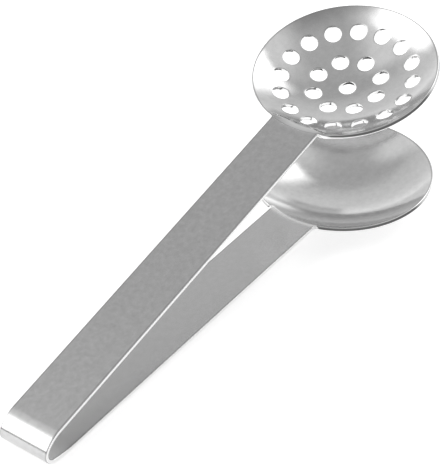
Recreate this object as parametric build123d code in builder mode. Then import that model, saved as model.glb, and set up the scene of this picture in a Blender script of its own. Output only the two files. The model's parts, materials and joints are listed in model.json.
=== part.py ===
from build123d import *
import os
from math import asin, atan2, cos, degrees, hypot, pi, radians, sin, sqrt

# Tea bag squeezer: a springy strip of stainless sheet, folded over at the rear, with a round
# bowl pressed into each end. The upper bowl is pierced, and drains into the solid lower one.
# Millimetres and degrees. +X points from the fold to the bowls and +Z up. The squeezer lies
# on the table on its solid bowl and on the curved tail of its lower arm.

# The sheet
sheet_thickness = 1.0
edge_round = 0.2

# The two bowls, alike but for the holes
bowl_diameter = 48.0
bowl_depth = 7.2
hole_diameter = 4.5
inner_ring_count = 8
outer_ring_count = 16
inner_ring_share = 0.373
outer_ring_share = 0.724

# The two arms, each from its bowl's rim to where it starts to curve
arm_width = 14.0
upper_arm_length = 102.4
lower_arm_length = 95.5
opening_angle = 11.6

# The fold, by inside radii: the lower arm's tail, the tight bend, the upper arm's lead-in
tail_radius = 26.0
tail_turn = 14.2
bend_radius = 2.2
lead_radius = 7.2
lead_turn = 37.8

# How far a cutting tool runs past the metal
cut_overrun = 1.0

bowl_radius = bowl_diameter / 2
arm_half_width = arm_width / 2
upper_reach = bowl_radius + upper_arm_length
lower_reach = bowl_radius + lower_arm_length
bend_turn = 180 - opening_angle - tail_turn - lead_turn

# A bowl is a cap of a hollow sphere, whose centre lies above the rim. The rim is cut square to
# the sheet, so its lower edge is a little wider than its upper one, and lies below it.
inner_sphere = (bowl_radius**2 + bowl_depth**2) / (2 * bowl_depth)
outer_sphere = inner_sphere + sheet_thickness
sphere_height = inner_sphere - bowl_depth
rim_sweep = degrees(asin(bowl_radius / inner_sphere))
lower_rim_radius = bowl_radius * outer_sphere / inner_sphere
lower_rim_depth = sphere_height * sheet_thickness / inner_sphere


def rest_angle():
    """How far the lower arm rises to the front when its bowl and its tail both touch the table."""
    height_difference = sphere_height - tail_radius
    centre_distance = hypot(lower_reach, height_difference)
    radius_difference = outer_sphere - (tail_radius + sheet_thickness)
    return degrees(asin(radius_difference / centre_distance) - atan2(height_difference, lower_reach))


lower_lean = rest_angle()
upper_lean = lower_lean + opening_angle


def along(lean):
    """The way forward on a face that rises to the front by this angle."""
    return Vector(cos(radians(lean)), 0, sin(radians(lean)))


def upright(lean):
    """The way out of the top of that face."""
    return Vector(-sin(radians(lean)), 0, cos(radians(lean)))


def side_plane(origin, lean):
    """A plane for side views, with x forward on such a face and y out of the top of it."""
    return Plane(origin=origin, x_dir=along(lean), z_dir=(0, -1, 0))


def rim_plane(origin, lean):
    """The plane of a bowl's rim and of its arm's top face."""
    return Plane(origin=origin, x_dir=along(lean), z_dir=upright(lean))


def strip_centres():
    """Follows the strip from the lower rim's centre, round the fold, to the upper rim's centre."""
    lower_rim = Vector(0, 0, 0)
    tail = lower_rim - along(lower_lean) * lower_reach + upright(lower_lean) * tail_radius
    bend = tail - upright(lower_lean - tail_turn) * (tail_radius - bend_radius)
    lead = bend + upright(lower_lean - tail_turn - bend_turn) * (lead_radius - bend_radius)
    lead_top = lead + upright(upper_lean) * (lead_radius + sheet_thickness)
    upper_rim = lead_top + along(upper_lean) * upper_reach
    return lower_rim, bend, upper_rim


def front_end(rim, lean):
    """How far forward the lower edge of a bowl's rim reaches."""
    return (rim + along(lean) * lower_rim_radius - upright(lean) * lower_rim_depth).X


def shift_to_table(lower_rim, bend, upper_rim):
    """Puts the origin on the table, midway between the back of the fold and the foremost rim."""
    front = max(front_end(lower_rim, lower_lean), front_end(upper_rim, upper_lean))
    back = bend.X - bend_radius - sheet_thickness
    sphere_centre = lower_rim + upright(lower_lean) * sphere_height
    return Vector(-(front + back) / 2, 0, outer_sphere - sphere_centre.Z)


shift = shift_to_table(*strip_centres())
lower_rim_centre, bend_centre, upper_rim_centre = [centre + shift for centre in strip_centres()]


def strip_outline(top, straight, inside_radius, turn):
    """Sheet in side view: rearwards from x = 0 with its top face at this height, then curving.

    A turn above zero curves it down and one below zero curves it up."""
    top_radius = inside_radius if turn < 0 else inside_radius + sheet_thickness
    under_radius = inside_radius + sheet_thickness if turn < 0 else inside_radius
    top_arc = JernArc((-straight, top), (-1, 0), top_radius, turn)
    under_arc = JernArc((-straight, top - sheet_thickness), (-1, 0), under_radius, turn)
    if straight:
        Line((0, top), top_arc @ 0)
        Line((0, top - sheet_thickness), under_arc @ 0)
    Line((0, top), (0, top - sheet_thickness))
    Line(top_arc @ 1, under_arc @ 1)


def long_edges(strip):
    """The edges along both sides of a strip, without the short ones across its ends."""
    sides = strip.edges().group_by(Axis.Y)
    return (sides[0] + sides[-1]).filter_by(lambda edge: edge.length > 1.5 * sheet_thickness)


def rim_cone_radius(height):
    """How wide the cone that a bowl's cut rim lies on is, at this height over the rim plane."""
    return bowl_radius * (sphere_height - height) / sphere_height


def make_strip(plane, top, straight, inside_radius, turn, meets_bowl=False):
    """A length of the strip, with its long edges rounded.

    Where it meets a bowl, its front is cut to the rim, round the plane's own upright."""
    with BuildPart() as strip:
        with BuildSketch(plane):
            with BuildLine():
                strip_outline(top, straight, inside_radius, turn)
            make_face()
        extrude(amount=arm_half_width, both=True)
        if meets_bowl:
            high = cut_overrun
            low = -sheet_thickness - cut_overrun
            high_corner = (rim_cone_radius(high), high)
            low_corner = (rim_cone_radius(low), low)
            with BuildSketch(plane):
                with BuildLine():
                    Polyline((0, low), low_corner, high_corner, (0, high), close=True)
                make_face()
            revolve(axis=Axis(plane.origin, plane.y_dir), mode=Mode.SUBTRACT)
        fillet(long_edges(strip), radius=edge_round)
    return strip


def hole_planes(rim):
    """One plane for each drain hole: on the bowl's inside and square to the sheet there."""
    sphere_centre = rim.from_local_coords((0, 0, sphere_height))
    rings = [(0, 1), (inner_ring_share, inner_ring_count), (outer_ring_share, outer_ring_count)]
    planes = []
    for share, count in rings:
        ring_radius = share * bowl_radius
        depth = sqrt(inner_sphere**2 - ring_radius**2) - sphere_height
        for turn in [2 * pi * index / count for index in range(count)]:
            spot = rim.from_local_coords((ring_radius * cos(turn), ring_radius * sin(turn), -depth))
            planes.append(Plane(origin=spot, z_dir=spot - sphere_centre))
    return planes


def make_bowl(rim_centre, lean, holes=()):
    """A shallow round bowl, pressed down from its rim plane."""
    with BuildPart() as bowl:
        with BuildSketch(side_plane(rim_centre, lean)):
            with BuildLine():
                inside = JernArc((0, -bowl_depth), (1, 0), inner_sphere, rim_sweep)
                outside = JernArc((0, -bowl_depth - sheet_thickness), (1, 0), outer_sphere, rim_sweep)
                Line(inside @ 0, outside @ 0)
                Line(inside @ 1, outside @ 1)
            make_face()
        revolve(axis=Axis(rim_centre, upright(lean)))
        if holes:
            with BuildSketch(*holes):
                Circle(hole_diameter / 2)
            extrude(amount=sheet_thickness + cut_overrun, both=True, mode=Mode.SUBTRACT)
    return bowl


# The lower half: the solid bowl, and its arm with the curved tail that lies on the table
solid_bowl = make_bowl(lower_rim_centre, lower_lean)
lower_arm = make_strip(
    side_plane(lower_rim_centre, lower_lean), 0, lower_reach, tail_radius, -tail_turn, True
)

# The upper half: the pierced bowl, and its arm with the lead-in to the bend
upper_rim = rim_plane(upper_rim_centre, upper_lean)
perforated_bowl = make_bowl(upper_rim_centre, upper_lean, hole_planes(upper_rim))
upper_arm = make_strip(
    side_plane(upper_rim_centre, upper_lean), 0, upper_reach, lead_radius, lead_turn, True
)

# The tight bend between the two arms, which is the spring
spring_bend = make_strip(
    side_plane(bend_centre, lower_lean - tail_turn), -bend_radius, 0, bend_radius, -bend_turn
)

os.makedirs("parts", exist_ok=True)
pieces = {
    "solid_bowl": solid_bowl,
    "lower_arm": lower_arm,
    "perforated_bowl": perforated_bowl,
    "upper_arm": upper_arm,
    "spring_bend": spring_bend,
}
for name, piece in pieces.items():
    piece.part.label = name
    export_step(piece.part, f"parts/{name}.step")

print("lower rim", lower_rim_centre, "leans", round(lower_lean, 3))
print("upper rim", upper_rim_centre, "leans", round(upper_lean, 3))
print("bend", bend_centre, "turns", round(bend_turn, 3))
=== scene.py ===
import json
from math import atan2, cos, hypot, pi, radians, sin, sqrt, tan

import bpy
from mathutils import Matrix, Vector


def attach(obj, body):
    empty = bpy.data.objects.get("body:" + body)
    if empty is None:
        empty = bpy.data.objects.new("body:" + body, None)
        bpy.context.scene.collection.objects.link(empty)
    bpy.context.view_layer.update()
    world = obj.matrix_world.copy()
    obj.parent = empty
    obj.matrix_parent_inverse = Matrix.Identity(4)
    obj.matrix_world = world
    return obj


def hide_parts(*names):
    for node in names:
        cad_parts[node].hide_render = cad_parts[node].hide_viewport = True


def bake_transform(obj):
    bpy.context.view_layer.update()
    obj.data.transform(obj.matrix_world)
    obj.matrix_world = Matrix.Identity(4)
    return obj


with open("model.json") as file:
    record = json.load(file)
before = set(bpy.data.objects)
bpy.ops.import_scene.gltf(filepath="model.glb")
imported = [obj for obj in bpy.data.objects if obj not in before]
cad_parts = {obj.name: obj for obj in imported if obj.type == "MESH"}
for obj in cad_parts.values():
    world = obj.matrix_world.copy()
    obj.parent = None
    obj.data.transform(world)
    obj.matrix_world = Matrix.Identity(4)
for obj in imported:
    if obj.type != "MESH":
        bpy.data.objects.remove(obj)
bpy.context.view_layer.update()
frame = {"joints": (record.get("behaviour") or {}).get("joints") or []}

# Spring bend
# The tight rear bend of the strip, which springs the two arms apart. Stainless sheet, sheared
# to width, tumbled to a satin finish and folded cold over a thin former.
metre = 1000
sheet_thickness = 1.0
strip_half_width = 7.0
edge_round = 0.2
burr_width = 0.3
bend_radius = 2.2
bend_turn = radians(116.4)
tail_turn = radians(14.2)
lower_lean = radians(3.46335)
upper_lean = lower_lean + radians(11.6)
bend_centre = Vector(frame["joints"][0]["pos_m"]) * metre
across_steps = 24
bend_steps = 60
sharp_angle = radians(42)
grain_fineness = 5.2
relief_depth = 0.00006
# Greys of the painted shade, the painted dark line beside cut edges and the painted highlight
painted_shade_grey = 0.43
painted_edge_shade_grey = 0.34
painted_highlight_grey = 0.8


def upright(lean):
    """The way out of the top of a face that rises to the front by this angle."""
    return Vector((-sin(lean), 0, cos(lean)))


def lying(origin, lean):
    """Takes millimetres along, across and out of such a face to its place in metres."""
    turned = Matrix.Rotation(-lean, 4, "Y")
    return Matrix.Scale(1 / metre, 4) @ Matrix.Translation(origin) @ turned


class Wire:
    """One output in a node tree, or the tree alone. Arithmetic on it adds Math nodes."""

    def __init__(self, tree, socket=None):
        self.tree = tree
        self.socket = socket

    def node(self, kind, settings=(), inputs=(), output=0):
        """A new node with these settings and inputs, as the wire from one of its outputs."""
        made = self.tree.nodes.new(kind)
        settings = dict(settings)
        for position, level in settings.pop("stops", ()):
            ramp = made.color_ramp.elements
            at_end = position in (0, 1)
            stop = ramp[-position] if at_end else ramp.new(position)
            stop.color = grey(level)
        for name, value in settings.items():
            setattr(made, name, value)
        for name, value in dict(inputs).items():
            if isinstance(value, Wire):
                self.tree.links.new(value.socket, made.inputs[name])
            else:
                made.inputs[name].default_value = value
        return Wire(self.tree, made.outputs[output] if made.outputs else None)

    def maths(self, operation, *others):
        values = enumerate((self, *others))
        return self.node("ShaderNodeMath", {"operation": operation}, values)

    def mix(self, first, second):
        """From the first colour where this is zero to the second one where it is one."""
        colours = {"Factor": self, "A": first, "B": second}
        return self.node("ShaderNodeMix", {"data_type": "RGBA"}, colours, "Result")

    def fade(self, none, full):
        """Zero at the one value and one at the other, with a smooth change between them."""
        ends = {"Value": self, "From Min": none, "From Max": full}
        smooth = {"interpolation_type": "SMOOTHSTEP"}
        return self.node("ShaderNodeMapRange", smooth, ends, "Result")

    def __add__(self, other):
        return self.maths("ADD", other)

    def __sub__(self, other):
        return self.maths("SUBTRACT", other)

    def __rsub__(self, other):
        return self * -1 + other

    def __mul__(self, other):
        return self.maths("MULTIPLY", other)

    def __truediv__(self, other):
        return self.maths("DIVIDE", other)

    __radd__ = __add__
    __rmul__ = __mul__


def grey(level):
    return level, level, level, 1


def new_tree(name, *sizes):
    """A Geometry Nodes tree that takes a mesh, these sizes and a material."""
    tree = bpy.data.node_groups.new(name, "GeometryNodeTree")
    sockets = [("Sheet", "NodeSocketGeometry"), *sizes, ("Material", "NodeSocketMaterial")]
    for label, kind in sockets:
        tree.interface.new_socket(label, in_out="INPUT", socket_type=kind)
    tree.interface.new_socket("Sheet", in_out="OUTPUT", socket_type="NodeSocketGeometry")
    return Wire(tree)


def end_tree(start, sheet):
    """Ends the tree with plain geometry that has its material."""
    material = start.node("NodeGroupInput", output="Material")
    real = start.node("GeometryNodeRealizeInstances", (), {"Geometry": sheet})
    coated = {"Geometry": real, "Material": material}
    finished = start.node("GeometryNodeSetMaterial", (), coated)
    start.node("NodeGroupOutput", (), {"Sheet": finished})


# The former: beyond Straight it curls the flat strip round Radius, which lies above the top
# face, or below it where Radius is less than zero
start = new_tree(
    "Fold the strip", ("Straight", "NodeSocketFloat"), ("Radius", "NodeSocketFloat")
)
straight = start.node("NodeGroupInput", output="Straight")
radius = start.node("NodeGroupInput", output="Radius")
place = start.node("GeometryNodeInputPosition")
x, y, z = [start.node("ShaderNodeSeparateXYZ", (), {"Vector": place}, axis) for axis in "XYZ"]
rearwards = x * -1
turned = (rearwards - straight).maths("MAXIMUM", 0) / radius
before_curl = rearwards.maths("MINIMUM", straight)
x_folded = before_curl * -1 - (radius - z) * turned.maths("SINE")
z_folded = radius - (radius - z) * turned.maths("COSINE")
folded = start.node("ShaderNodeCombineXYZ", (), {"X": x_folded, "Y": y, "Z": z_folded})
flat = start.node("NodeGroupInput", output="Sheet")
curled = start.node("GeometryNodeSetPosition", (), {"Geometry": flat, "Position": folded})
end_tree(start, curled)
fold_tree = start.tree


def work(piece, tree, **sizes):
    """Puts the piece through a tree, and keeps what comes out as its plain mesh."""
    modifier = piece.modifiers.new(tree.name, "NODES")
    modifier.node_group = tree
    for socket in tree.interface.items_tree:
        if socket.name in sizes:
            modifier[socket.identifier] = sizes[socket.name]
    graph = bpy.context.evaluated_depsgraph_get()
    worked = bpy.data.meshes.new_from_object(piece.evaluated_get(graph))
    piece.modifiers.remove(modifier)
    piece.data = worked


def new_piece(name, points, faces, cut_edge):
    """A piece in millimetres, with how far each point lies on a cut edge of the sheet."""
    mesh = bpy.data.meshes.new(name)
    mesh.from_pydata(points, [], faces)
    mesh.attributes.new("cut_edge", "FLOAT", "POINT").data.foreach_set("value", cut_edge)
    piece = bpy.data.objects.new(name, mesh)
    bpy.context.scene.collection.objects.link(piece)
    return piece


def lay(piece, place):
    """Puts a finished mesh in its place, and shades it smooth but for its hidden ends."""
    piece.data.transform(place)
    piece.data.shade_smooth()
    piece.data.set_sharp_from_angle(angle=sharp_angle)
    piece.data.update()


def across_strip():
    """From side to side: y and height, and the share of cut edge on top and underneath."""
    corner = [radians(turn) for turn in (0, 22.5, 45, 67.5, 90)]
    side = [
        (strip_half_width - edge_round * (1 - cos(turn)), edge_round * (sin(turn) - 1))
        for turn in corner
    ]
    flat_half = strip_half_width - edge_round - burr_width
    shares = [2 * step / across_steps - 1 for step in range(across_steps + 1)]
    flat = [(flat_half * share, 0.0) for share in shares]
    rounded = [(-y, z) for y, z in side]
    top_edge = [1.0, 1.0, 0.95, 0.75, 0.4]
    under_edge = [1.0, 0.6, 0.5, 0.4, 0.2]
    plain = [0.0] * len(flat)
    edges = top_edge + plain + top_edge[::-1], under_edge + plain + under_edge[::-1]
    return rounded + flat + side[::-1], edges


def flat_strip(name, stations, front=lambda x, y: x):
    """The strip before it is folded, with its top face at zero and its front end cut to fit."""
    row, (top_edge, under_edge) = across_strip()
    count = len(row)
    last = count - 1
    points = []
    for station in stations:
        points += [(front(station, y), y, z) for y, z in row]
        points += [(front(station, y), y, -sheet_thickness - z) for y, z in row]
    faces = []
    for step in range(len(stations) - 1):
        top, next_top = 2 * count * step, 2 * count * (step + 1)
        under, next_under = top + count, next_top + count
        for spot in range(last):
            ahead = spot + 1
            faces.append([top + spot, top + ahead, next_top + ahead, next_top + spot])
            faces.append([under + spot, next_under + spot, next_under + ahead, under + ahead])
        faces.append([top, next_top, next_under, under])
        faces.append([top + last, under + last, next_under + last, next_top + last])
    back = 2 * count * (len(stations) - 1)
    for spot in range(last):
        ahead = spot + 1
        faces.append([spot, count + spot, count + ahead, ahead])
        faces.append([back + spot, back + ahead, back + count + ahead, back + count + spot])
    return new_piece(name, points, faces, (top_edge + under_edge) * len(stations))


def paint_shade(piece, share):
    """Marks how much painted shade darkens the steel at each point, as share gives."""
    painted_shade = piece.data.attributes.new("painted_shade", "FLOAT", "POINT")
    for mark, vertex in zip(painted_shade.data, piece.data.vertices):
        mark.value = float(share(*vertex.co))


def steel(name, tones, roughness, cloud_size, bump):
    """Stainless steel: cloudy and finely grained by tumbling. Its cut edges get a painted
    highlight, with a painted dark line of shade beside them. Marked points get painted shade,
    and the crease along the rim a painted highlight."""
    material = bpy.data.materials.new(name)
    material.use_nodes = True
    shader = material.node_tree.nodes["Principled BSDF"]
    shader.inputs["Metallic"].default_value = 1.0
    start = Wire(material.node_tree)
    place = start.node("ShaderNodeTexCoord", output="Object")
    clouds = start.node(
        "ShaderNodeTexNoise", (),
        {"Vector": place, "Scale": metre / cloud_size, "Detail": 4.0, "Roughness": 0.62}, "Fac",
    )
    fineness = metre * grain_fineness / cloud_size
    grain = start.node(
        "ShaderNodeTexNoise", (),
        {"Vector": place, "Scale": fineness, "Detail": 2.0, "Roughness": 0.5}, "Fac",
    )
    cut, painted_shade, painted_crease_highlight = [
        start.node("ShaderNodeAttribute", {"attribute_name": mark}, output="Fac")
        for mark in ("cut_edge", "painted_shade", "painted_crease_highlight")
    ]
    # The painted dark line of shade beside cut edges is where cut is near a half. Noise keeps
    # near its middle value, so it is stretched to reach both tones.
    painted_edge_shade = cut * (1 - cut) * 3
    # The painted highlight: on the cut edges and on the crease along the rim
    painted_highlight = cut.fade(0.55, 0.95).maths("MAXIMUM", painted_crease_highlight)
    patchy = clouds * 1.5 - 0.25
    colour = patchy.mix(grey(tones[0]), grey(tones[1]))
    # Painted shade, then the painted dark line beside cut edges, then the painted highlight
    colour = painted_shade.mix(colour, grey(painted_shade_grey))
    colour = painted_edge_shade.mix(colour, grey(painted_edge_shade_grey))
    colour = painted_highlight.mix(colour, grey(painted_highlight_grey))
    rough = roughness + (clouds - 0.5) * 0.08 + (grain - 0.5) * 0.06
    rough = rough - painted_highlight * 0.06 + painted_crease_highlight * 0.25
    relief = {"Strength": bump, "Distance": relief_depth, "Height": clouds * 0.4 + grain * 0.6}
    normal = start.node("ShaderNodeBump", (), relief, "Normal")
    for socket, wire in (("Base Color", colour), ("Roughness", rough), ("Normal", normal)):
        start.tree.links.new(wire.socket, shader.inputs[socket])
    return material


satin_steel = steel("satin_steel", (0.53, 0.66), 0.22, 1.4, 0.16)
bend_length = bend_radius * bend_turn
bend_stations = [-bend_length * step / bend_steps for step in range(bend_steps + 1)]
spring_bend = flat_strip("spring_bend_sheet", bend_stations)
# Painted shade on the inside of the bend, deepening towards the upper arm
paint_shade(spring_bend, lambda x, y, z: (z > -sheet_thickness / 2) * x / bend_stations[-1])
work(spring_bend, fold_tree, Straight=0.0, Radius=bend_radius, Material=satin_steel)
bend_start = bend_centre - upright(lower_lean - tail_turn) * bend_radius
lay(spring_bend, lying(bend_start, lower_lean - tail_turn))
middle = upright((lower_lean + upper_lean) / 2) * (bend_radius + sheet_thickness)
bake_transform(spring_bend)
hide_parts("spring_bend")

# Lower arm
# The same strip runs on as a long shallow tail, which the squeezer lies on, and then flat to
# the lower bowl. Tumbling reached it less, between the arms. It creases along the bowl's rim.
tail_radius = 26.0
bowl_radius = 24.0
bowl_depth = 7.2
lower_arm_length = 95.5
fine_step = 0.25
fine_steps = 24
coarse_steps = 16
tail_steps = 14
cut_fade = 5
neck_front = -19
neck_back = -29
crease_soften = 0.9
# Where the painted highlight along the crease lies, and how it fades out
crease_highlight_width = 0.66
crease_highlight_fade = 0.3
crease_highlight_depth = 0.6
lower_reach = bowl_radius + lower_arm_length
tail_centre = bend_centre + upright(lower_lean - tail_turn) * (tail_radius - bend_radius)
forward = Vector((cos(lower_lean), 0, sin(lower_lean)))
lower_rim_centre = tail_centre - upright(lower_lean) * tail_radius + forward * lower_reach
inside_sphere = (bowl_radius**2 + bowl_depth**2) / (2 * bowl_depth)
outside_sphere = inside_sphere + sheet_thickness
sphere_height = inside_sphere - bowl_depth


def soft_min(a, b, soften):
    """The lower of two heights, with the corner between them rounded."""
    overlap = max(soften - abs(a - b), 0) / soften
    return min(a, b) - overlap**2 * soften / 4


def soft_max(a, b, soften):
    return -soft_min(-a, -b, soften)


def cap(sphere, x, y):
    """The height of a bowl's inside or underside over a point of its rim plane."""
    return sphere_height - sqrt(sphere**2 - x * x - y * y)


def arm_stations(straight, curl_radius, curl, curl_steps):
    """Where an arm's mesh is divided: finely next to the bowl, and all along its curl."""
    fine_reach = fine_step * fine_steps
    left = straight - fine_reach
    length = curl_radius * curl
    near = [fine_step * step for step in range(fine_steps)]
    far = [fine_reach + left * step / coarse_steps for step in range(coarse_steps + 1)]
    curled = [straight + length * step / curl_steps for step in range(1, curl_steps + 1)]
    return [-bowl_radius - distance for distance in near + far + curled]


def cut_to_rim(station, y):
    """Moves the front of an arm onto the bowl's rim, and leaves it square further back."""
    distance = -station - bowl_radius
    share = max(0, 1 - distance / cut_fade) ** 2 * (1 + 2 * min(1, distance / cut_fade))
    return -(sqrt(bowl_radius**2 - y * y) * share + bowl_radius * (1 - share)) - distance


def press(piece, surfaces, pressed, zone=lambda x, y: 1):
    """Moves the top and underside of the sheet from their plain heights to the pressed ones."""
    for vertex in piece.data.vertices:
        x, y, z = vertex.co
        if x > neck_front or x < neck_back or not zone(x, y):
            continue
        top, under = surfaces(x, y)
        new_top, new_under = pressed(x, y)
        depth = min(1, max(0, (top - z) / (top - under)))
        change = (1 - depth) * (new_top - top) + depth * (new_under - under)
        vertex.co.z = z + change * zone(x, y)


def paint_crease_highlight(piece):
    """Marks the line on top of the crease along the rim, where a highlight is painted."""
    painted_crease_highlight = piece.data.attributes.new("painted_crease_highlight", "FLOAT", "POINT")
    for mark, vertex in zip(painted_crease_highlight.data, piece.data.vertices):
        x, y, z = vertex.co
        away = abs(hypot(x, y) - bowl_radius)
        on_top = x < neck_front and abs(y) < strip_half_width and z > -crease_highlight_depth
        mark.value = min(1, max(0, (crease_highlight_width - away) / crease_highlight_fade)) * on_top


def strip_surfaces(x, y):
    return 0, -sheet_thickness


def creased_neck(x, y):
    """Where the lower arm meets its bowl: one crease with a small radius, along the rim."""
    top = soft_min(0, cap(inside_sphere, x, y), crease_soften)
    under = soft_min(-sheet_thickness, cap(outside_sphere, x, y), crease_soften)
    return top, under


sheltered_steel = steel("sheltered_steel", (0.565, 0.625), 0.22, 1.4, 0.06)
lower_stations = arm_stations(lower_arm_length, tail_radius, tail_turn, tail_steps)
lower_arm = flat_strip("lower_arm_sheet", lower_stations, cut_to_rim)
work(lower_arm, fold_tree, Straight=lower_reach, Radius=tail_radius, Material=sheltered_steel)
# Painted highlight along the crease at the rim
paint_crease_highlight(lower_arm)
press(lower_arm, strip_surfaces, creased_neck)
lay(lower_arm, lying(lower_rim_centre, lower_lean))
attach(lower_arm, "lower_half")
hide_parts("lower_arm")

# Solid bowl
# The lower end of the strip, a round blank pressed from above into a plain shallow cap. It
# catches what is squeezed out. Same sheet, left brighter by the press tool.
sectors = 8
sector_angle = 2 * pi / sectors
rim_steps = 48
rim_soften = 0.22
rim_cut_edge = [0.25, 0.5, 0.8, 1, 1, 1]
lower_rim_radius = bowl_radius * outside_sphere / inside_sphere
middle_radii = [0.4, *range(1, 21)]
solid_rim_steps = 16
sewing_distance = 0.004
slack = 0.01
neck_soften = 0.02
neck_angle = radians(16.9)
neck_fade = radians(2.4)
lower_crease_half_width = 7.2
press_front = -19.6
press_front_fade = 0.6
press_half_width = 10.5
press_side_fade = 1.5

# The press tool's turntable: repeats one sector of a bowl all round its axis
start = new_tree("Repeat round the axis", ("Count", "NodeSocketInt"))
sector = start.node("NodeGroupInput", output="Sheet")
count = start.node("NodeGroupInput", output="Count")
angle = start.node("GeometryNodeInputIndex") * (2 * pi) / count
facing = start.node("ShaderNodeCombineXYZ", (), {"Z": angle})
spots = start.node("GeometryNodePoints", (), {"Count": count})
repeated = {"Points": spots, "Instance": sector, "Rotation": facing}
ring = start.node("GeometryNodeInstanceOnPoints", (), repeated)
whole = start.node("GeometryNodeRealizeInstances", (), {"Geometry": ring})
touching = {"Geometry": whole, "Distance": sewing_distance}
end_tree(start, start.node("GeometryNodeMergeByDistance", (), touching))
turn_tree = start.tree


def soften(before, corner, after, steps=5):
    """Points on a rounded corner, from the point before it to the one after."""
    shares = [step / steps for step in range(steps + 1)]
    ends = list(zip(before, corner, after))
    return [
        tuple(a * (1 - s) ** 2 + b * 2 * s * (1 - s) + c * s * s for a, b, c in ends)
        for s in shares
    ]


def rim_profile(inner_radius, steps, under_radius, soft):
    """From the bowl's inside over its rim to its underside: radius and height, and cut edge."""
    rim_top = Vector((bowl_radius, 0))
    rim_under = Vector((under_radius, cap(outside_sphere, under_radius, 0)))
    cut = (rim_under - rim_top).normalized() * soft
    on_top = (bowl_radius - soft, cap(inside_sphere, bowl_radius - soft, 0))
    on_under = (under_radius - soft, cap(outside_sphere, under_radius - soft, 0))
    inner_under = inner_radius * outside_sphere / inside_sphere
    shares = [step / steps for step in range(steps)]
    inside = [inner_radius + (on_top[0] - inner_radius) * share for share in shares]
    outside = [inner_under + (on_under[0] - inner_under) * share for share in shares[::-1]]
    profile = [(radius, cap(inside_sphere, radius, 0)) for radius in inside]
    profile += soften(on_top, rim_top, rim_top + cut)
    profile += soften(rim_under - cut, rim_under, on_under)
    profile += [(radius, cap(outside_sphere, radius, 0)) for radius in outside]
    plain = [0.0] * steps
    return profile, plain + rim_cut_edge + rim_cut_edge[::-1] + plain


class Sector:
    """The points and faces of one sector of a bowl, as they are added."""

    def __init__(self):
        self.points = []
        self.faces = []
        self.edge = []

    def skin(self, rows, edges, closed=False):
        """Adds rows of points and the faces between them, each row outside the one before."""
        first = len(self.points)
        width = len(rows[0])
        for row, edge in zip(rows, edges):
            self.points += row
            self.edge += [edge] * width
        for step in range(len(rows) - 1):
            low, high = first + step * width, first + (step + 1) * width
            for spot in range(width if closed else width - 1):
                ahead = (spot + 1) % width
                self.faces.append([low + spot, high + spot, high + ahead, low + ahead])


def arcs(profile):
    """Rows of points across a sector, one row for each radius and height."""
    angles = [
        sector_angle * step / rim_steps - sector_angle / 2 for step in range(rim_steps + 1)
    ]
    return [
        [(radius * cos(angle), radius * sin(angle), height) for angle in angles]
        for radius, height in profile
    ]


def add_rim(sector, inner_radius, steps):
    """The outermost part of the bowl, with its softened rim."""
    profile, edge = rim_profile(inner_radius, steps, lower_rim_radius, rim_soften)
    sector.skin(arcs(profile), edge)


def bowl_surfaces(x, y):
    return cap(inside_sphere, x, y), cap(outside_sphere, x, y)


def square_to_neck(piece, inner_radius, steps):
    """Makes the rim upright and sharp where the arm joins on, so that the two meet flush."""
    free = rim_profile(inner_radius, steps, lower_rim_radius, rim_soften)[0]
    joined = rim_profile(inner_radius, steps, bowl_radius, neck_soften)[0]
    for vertex in piece.data.vertices:
        x, y, z = vertex.co
        reach = hypot(x, y)
        share = min(1, max(0, 1 - (abs(atan2(y, -x)) - neck_angle) / neck_fade))
        if reach < inner_radius - slack or not share:
            continue
        away = [hypot(radius - reach, height - z) for radius, height in free]
        radius, height = joined[away.index(min(away))]
        square = Vector((x * radius / reach, y * radius / reach, height))
        vertex.co = vertex.co.lerp(square, share)


def neck_zone(x, y):
    """Fades the pressing of the neck out towards the rest of the bowl."""
    if x > press_front:
        return 0
    along = min(1, (press_front - x) / press_front_fade)
    side = min(1, max(0, (press_half_width - abs(y)) / press_side_fade))
    return along * side


def lower_neck_zone(x, y):
    return neck_zone(x, y) * (abs(y) < lower_crease_half_width)


solid = Sector()
bowl_steel = steel("bowl_steel", (0.58, 0.69), 0.1, 1.8, 0.1)
plain = [0.0] * len(middle_radii)
spread = outside_sphere / inside_sphere
inside = [(radius, cap(inside_sphere, radius, 0)) for radius in middle_radii]
solid.skin(arcs(inside), plain)
under_radii = [radius * spread for radius in middle_radii]
underside = [(radius, cap(outside_sphere, radius, 0)) for radius in under_radii]
solid.skin(arcs(underside[::-1]), plain)
add_rim(solid, middle_radii[-1], solid_rim_steps)
last_row = 2 * len(middle_radii) - 1
poles = ((-bowl_depth, 0, 1), (-bowl_depth - sheet_thickness, last_row, -1))
for height, row, turn in poles:
    centre = len(solid.points)
    solid.points.append((0, 0, height))
    solid.edge.append(0.0)
    first = row * (rim_steps + 1)
    for spot in range(first, first + rim_steps):
        solid.faces.append([centre, spot, spot + 1][::turn])

solid_bowl = new_piece("solid_bowl_sheet", solid.points, solid.faces, solid.edge)
work(solid_bowl, turn_tree, Count=sectors, Material=bowl_steel)
square_to_neck(solid_bowl, middle_radii[-1], solid_rim_steps)
# Painted highlight along the crease at the rim
paint_crease_highlight(solid_bowl)
press(solid_bowl, bowl_surfaces, creased_neck, lower_neck_zone)
lay(solid_bowl, lying(lower_rim_centre, lower_lean))
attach(solid_bowl, "lower_half")
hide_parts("solid_bowl")

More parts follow.
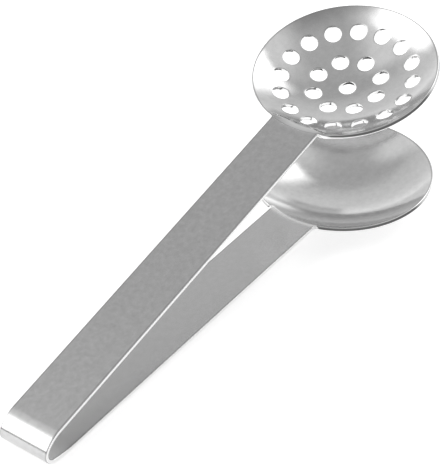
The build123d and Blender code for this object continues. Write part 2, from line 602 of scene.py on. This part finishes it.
# Upper arm
# The strip's other end comes out of the tight bend over a wider lead-in curve, and runs flat
# to the upper bowl. The pressing bowl draws its end down a little before a straight crease.
lead_radius = 7.2
lead_turn = radians(37.8)
lead_steps = 28
upper_arm_length = 102.4
upper_reach = bowl_radius + upper_arm_length
lead_top_radius = lead_radius + sheet_thickness
lead_centre = bend_centre + upright(upper_lean + lead_turn) * (bend_radius - lead_radius)
forward = Vector((cos(upper_lean), 0, sin(upper_lean)))
upper_rim_centre = lead_centre + upright(upper_lean) * lead_top_radius + forward * upper_reach
dip_start = -25.3
dip_rate = 0.12
crease_front = -21.4
crease_bow = 0.8
crease_half_width = 7.5
wall_slope = radians(50)
shelf_soften, under_shelf_soften = 0.2, 0.3
wall_soften, under_wall_soften = 0.25, 0.4


def dipped(x, y):
    """How far the flat end of the upper arm is drawn down."""
    return -dip_rate / 2 * max(0, x - dip_start) ** 2 * max(0, 1 - (y / strip_half_width) ** 2)


def shelf_neck(x, y):
    """Where the upper arm meets its bowl: a shelf inside the rim, a crease and a short wall."""
    crease = crease_front - crease_bow * (y / crease_half_width) ** 2
    shelf = dipped(x, y)
    wall = dipped(crease, y) - tan(wall_slope) * (x - crease)
    under_wall = wall - sheet_thickness / cos(wall_slope)
    bowl = soft_max(cap(inside_sphere, x, y), wall, wall_soften)
    under_bowl = soft_max(cap(outside_sphere, x, y), under_wall, under_wall_soften)
    top = soft_min(shelf, bowl, shelf_soften)
    under = soft_min(shelf - sheet_thickness, under_bowl, under_shelf_soften)
    return top, under


upper_stations = arm_stations(upper_arm_length, lead_top_radius, lead_turn, lead_steps)
upper_arm = flat_strip("upper_arm_sheet", upper_stations, cut_to_rim)
# Painted shade on the underside of the upper arm, which faces the lower arm
paint_shade(upper_arm, lambda x, y, z: z < -sheet_thickness / 2)
work(upper_arm, fold_tree, Straight=upper_reach, Radius=-lead_top_radius, Material=satin_steel)
press(upper_arm, strip_surfaces, shelf_neck)
lay(upper_arm, lying(upper_rim_centre, upper_lean))
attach(upper_arm, "upper_half")
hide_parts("upper_arm")

# Perforated bowl
# The upper end of the strip. Its round blank is punched with 25 drain holes, one in the
# middle and rings of 8 and 16, deburred, and then pressed into a cap like the lower one.
hole_radius = 2.25
hole_soften = 0.16
hole_soften_steps = 3
hole_cut_edge = [0, 0.6, 1, 1]
inner_ring_radius = 0.373 * bowl_radius
outer_ring_radius = 0.724 * bowl_radius
ring_borders = (4.5, 13.2, 21.0)
half_steps = rim_steps // 2
inner_side_steps = 12
outer_side_steps = 10
pierced_rim_steps = 12
cell_shares = (1, 0.72, 0.45, 0.2)
middle_sphere = (inside_sphere + outside_sphere) / 2
# Strength of the painted shade on the perforated bowl's underside
painted_bowl_shade = 0.5


def direction(radius, angle):
    """From the sphere's centre towards a point of the bowl's inside."""
    height = -sqrt(inside_sphere**2 - radius**2)
    return Vector((radius * cos(angle), radius * sin(angle), height)) / inside_sphere


def hole_profile():
    """Down the wall of a hole: distance from its axis, depth on it, and share of cut edge."""
    outer = hole_radius + hole_soften
    top = sqrt(inside_sphere**2 - outer**2)
    under = sqrt(outside_sphere**2 - outer**2)
    wall_top = hole_radius, top + hole_soften
    wall_foot = hole_radius, under - hole_soften
    upper = soften((outer, top), (hole_radius, top), wall_top, hole_soften_steps)
    lower = soften(wall_foot, (hole_radius, under), (outer, under), hole_soften_steps)
    return upper + lower, hole_cut_edge + hole_cut_edge[::-1]


def add_cell(sector, middle_radius, middle_angle, border, closed=True):
    """The sheet round one hole, from its border on the inside, through the hole, to its
    border on the underside."""
    axis = direction(middle_radius, middle_angle)
    side = Vector((-sin(middle_angle), cos(middle_angle), 0))
    up = side.cross(axis)
    bearings = [atan2(spot.dot(side), spot.dot(up)) for spot in border]
    spreads = [spot.cross(axis).length for spot in border]
    centre = Vector((0, 0, sphere_height))

    def row(distances, depths):
        return [
            tuple(centre + axis * depth + (up * cos(bearing) + side * sin(bearing)) * distance)
            for bearing, distance, depth in zip(bearings, distances, depths)
        ]

    def sheet_row(sphere, share):
        near = (hole_radius + hole_soften) * (1 - share)
        distances = [spread * sphere * share + near for spread in spreads]
        return row(distances, [sqrt(sphere**2 - distance**2) for distance in distances])

    wall, wall_edge = hole_profile()
    plain = [0] * len(cell_shares)
    edges = plain + wall_edge + plain
    rows = [sheet_row(inside_sphere, share) for share in cell_shares]
    rows += [row([distance] * len(border), [depth] * len(border)) for distance, depth in wall]
    rows += [sheet_row(outside_sphere, share) for share in cell_shares[::-1]]
    sector.skin(rows[::-1], edges[::-1], closed)


def cell_border(inner, outer, middle, half, inner_steps, outer_steps, side_steps):
    """Anticlockwise round a cell between two circles and two radial lines."""
    sides = (
        (outer, middle - half, 0, 2 * half, outer_steps),
        (outer, middle + half, inner - outer, 0, side_steps),
        (inner, middle + half, 0, -2 * half, inner_steps),
        (inner, middle - half, outer - inner, 0, side_steps),
    )
    return [
        direction(radius + wider * step / steps, angle + turn * step / steps)
        for radius, angle, wider, turn, steps in sides
        for step in range(steps)
    ]


def underneath(x, y, z):
    return hypot(x, y, sphere_height - z) > middle_sphere


pierced = Sector()
middle_border = [
    direction(ring_borders[0], sector_angle * (step / half_steps - 0.5))
    for step in range(half_steps + 1)
]
add_cell(pierced, 0, 0, middle_border, closed=False)
inner_border = cell_border(
    *ring_borders[:2], 0, sector_angle / 2, half_steps, rim_steps, inner_side_steps
)
add_cell(pierced, inner_ring_radius, 0, inner_border)
for middle in (0, sector_angle / 2):
    outer_border = cell_border(
        *ring_borders[1:], middle, sector_angle / 4, half_steps, half_steps, outer_side_steps
    )
    add_cell(pierced, outer_ring_radius, middle, outer_border)
add_rim(pierced, ring_borders[2], pierced_rim_steps)

perforated_bowl = new_piece(
    "perforated_bowl_sheet", pierced.points, pierced.faces, pierced.edge
)
# Painted shade on the bowl's underside, at half strength
paint_shade(perforated_bowl, lambda x, y, z: painted_bowl_shade * underneath(x, y, z))
work(perforated_bowl, turn_tree, Count=sectors, Material=bowl_steel)
square_to_neck(perforated_bowl, ring_borders[2], pierced_rim_steps)
press(perforated_bowl, bowl_surfaces, shelf_neck, neck_zone)
lay(perforated_bowl, lying(upper_rim_centre, upper_lean))
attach(perforated_bowl, "upper_half")
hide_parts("perforated_bowl")

# Table, light and camera
# A pale table, two soft boxes to the left and right of a plain grey room, and the camera
# where the photograph was taken from.
bpy.ops.mesh.primitive_plane_add(size=6)
table = bpy.context.object
table.name = "table"
white = bpy.data.materials.new("white_table")
white.use_nodes = True
start = Wire(white.node_tree)
paint = white.node_tree.nodes["Principled BSDF"]
paint.inputs["Base Color"].default_value = grey(0.8)
paint.inputs["Roughness"].default_value = 0.9
paint.inputs["Emission Strength"].default_value = 1
kinds = ("Camera", "Glossy", "Transmission")
seen = [start.node("ShaderNodeLightPath", output=f"Is {kind} Ray") for kind in kinds]
anywhere = seen[0].maths("MAXIMUM", seen[1]).maths("MAXIMUM", seen[2])
glow = anywhere.mix(grey(0), grey(0.6))
start.tree.links.new(glow.socket, paint.inputs["Emission Color"])
table.data.materials.append(white)

# From the horizon at 0 to straight above at 1: the room's grey, and how dark its two unlit
# parts are
wall_greys = (
    (0, 0.9), (0.2, 0.85), (0.25, 1.12), (0.31, 0.98), (0.4, 0.84), (0.57, 0.76), (0.66, 0.68),
    (0.74, 0.54), (0.86, 0.51), (1, 0.57),
)
low_dark = ((0, 0), (0.02, 1), (0.14, 1), (0.2, 0), (1, 0))
tall_dark = ((0, 0), (0.04, 0), (0.09, 1), (0.45, 1), (0.65, 0.5), (0.94, 0.5), (1, 0))
room = bpy.data.worlds.new("room")
bpy.context.scene.world = room
room.use_nodes = True
start = Wire(room.node_tree)
facing = start.node("ShaderNodeTexCoord", output="Generated")
rise = start.node("ShaderNodeSeparateXYZ", (), {"Vector": facing}, "Z")


def towards(direction):
    """How nearly the view faces this way: one straight ahead, zero at right angles."""
    return start.node(
        "ShaderNodeVectorMath", {"operation": "DOT_PRODUCT"}, {0: facing, 1: direction}, "Value"
    )


def soft_box(bearing, rise, wide, high, slant=0):
    """A large far soft box at this bearing from +X and rise. Wide and high each say where it
    has faded away and where it is full, as sines of the angle from its middle."""
    right = Vector((-sin(bearing), cos(bearing), 0))
    up = Vector((-cos(bearing) * sin(rise), -sin(bearing) * sin(rise), cos(rise)))
    across = towards(right * cos(slant) + up * sin(slant)).maths("ABSOLUTE").fade(*wide)
    upwards = towards(up * cos(slant) - right * sin(slant)).maths("ABSOLUTE").fade(*high)
    return across * upwards * towards(right.cross(up)).fade(0, 0.2)


wall, low, tall = [
    start.node("ShaderNodeValToRGB", {"stops": stops}, {"Fac": rise}, "Color")
    for stops in (wall_greys, low_dark, tall_dark)
]
# Dark: low down at the left, tall behind the camera, and a faint doorway straight ahead
low = low * towards((-0.87, 0.49, 0)).fade(0.92, 0.97)
tall = tall * towards((-0.45, -0.89, 0)).fade(0.15, 0.5)
doorway = soft_box(radians(26), radians(15), (0.17, 0.1), (0.14, 0.08)) * 0.48
dark = low.maths("MAXIMUM", tall).maths("MAXIMUM", doorway)
# Light: hazy patches on the walls at the right and left, and the boxes in front of them
halos = soft_box(radians(-40), radians(60), (0.6, 0.1), (0.38, 0.05))
halos = halos + soft_box(radians(126), radians(52), (0.5, 0.3), (0.43, 0.13))
lights = soft_box(radians(-19), radians(41), (0.45, 0.16), (0.28, 0.15))
lights = lights + soft_box(radians(124), radians(38), (0.53, 0.24), (0.26, 0.13), radians(31))
lights = lights + soft_box(radians(149), radians(27), (0.35, 0.25), (0.3, 0.24))
walls = dark.mix(wall, grey(0.15))
hazy = halos.mix(walls, grey(0.9))
lit = lights.mix(hazy, grey(2.6))
room.node_tree.links.new(lit.socket, room.node_tree.nodes["Background"].inputs["Color"])

camera = bpy.data.objects.new("camera", bpy.data.cameras.new("camera"))
bpy.context.scene.collection.objects.link(camera)
camera.data.sensor_width = 36
camera.data.lens = 141.5
camera.data.clip_start = 0.02
camera.location = (-0.292549, -0.218485, 0.285684)
aim = Vector((0.01898, 0.01635, 0))
camera.rotation_euler = (aim - camera.location).to_track_quat("-Z", "Y").to_euler()
bpy.context.scene.camera = camera
bpy.context.scene.view_settings.view_transform = "Standard"
